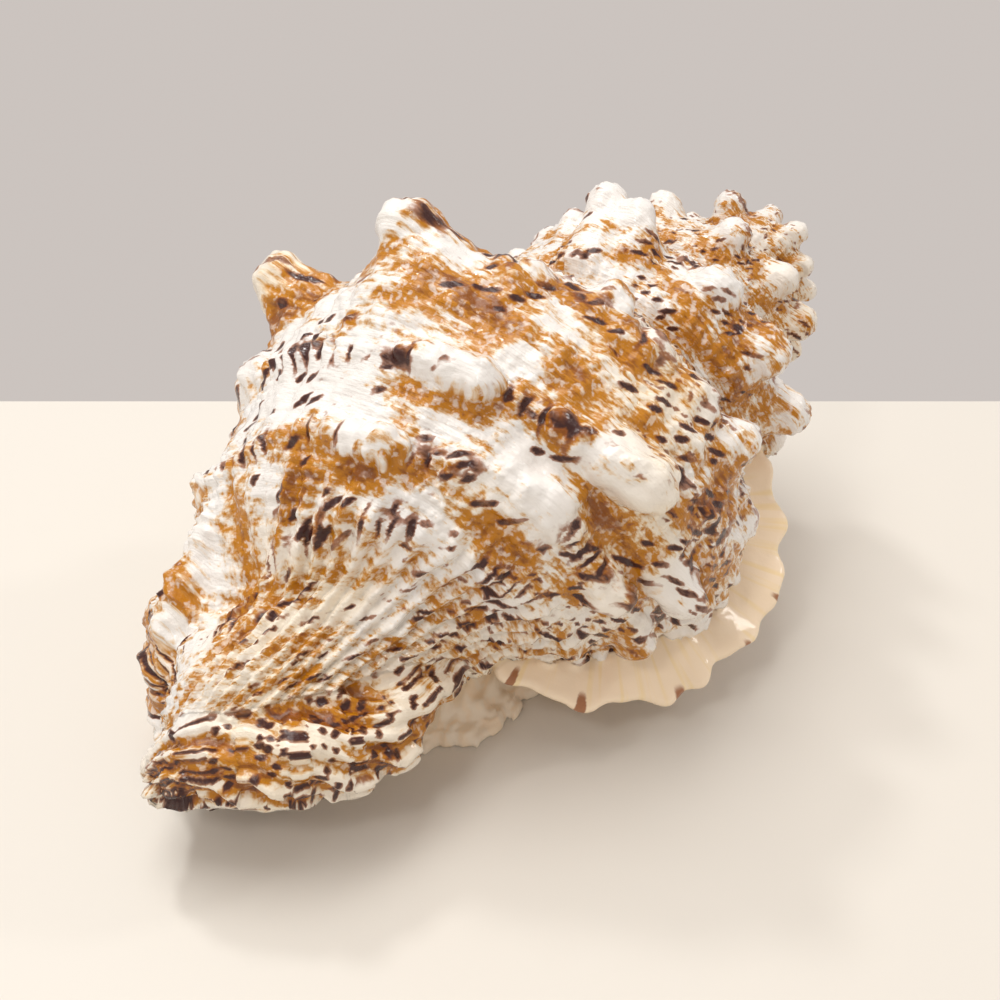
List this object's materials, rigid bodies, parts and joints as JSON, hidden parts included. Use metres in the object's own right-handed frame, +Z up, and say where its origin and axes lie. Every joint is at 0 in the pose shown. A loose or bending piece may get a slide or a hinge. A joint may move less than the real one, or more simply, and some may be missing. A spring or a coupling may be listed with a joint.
{
  "type": "frog shell",
  "caption": "Large knobbly frog shell lying on its aperture: coiled whorls with rows of blunt knobs, a finely corded spire, an earlier flared lip and a short canal.",
  "frame": {"origin": "centre of the shell's bounding box in plan, on the surface that it rests on", "axes": "+Z up, +Y along the shell towards the tip of the spire, +X to the side away from the outer lip"},
  "size_m": [0.118, 0.1936, 0.1037],
  "materials": {
    "shell": "glossy mottled cream and ochre shell"
  },
  "bodies": {
    "root": {"frog_shell": "shell"}
  },
  "joints": []
}
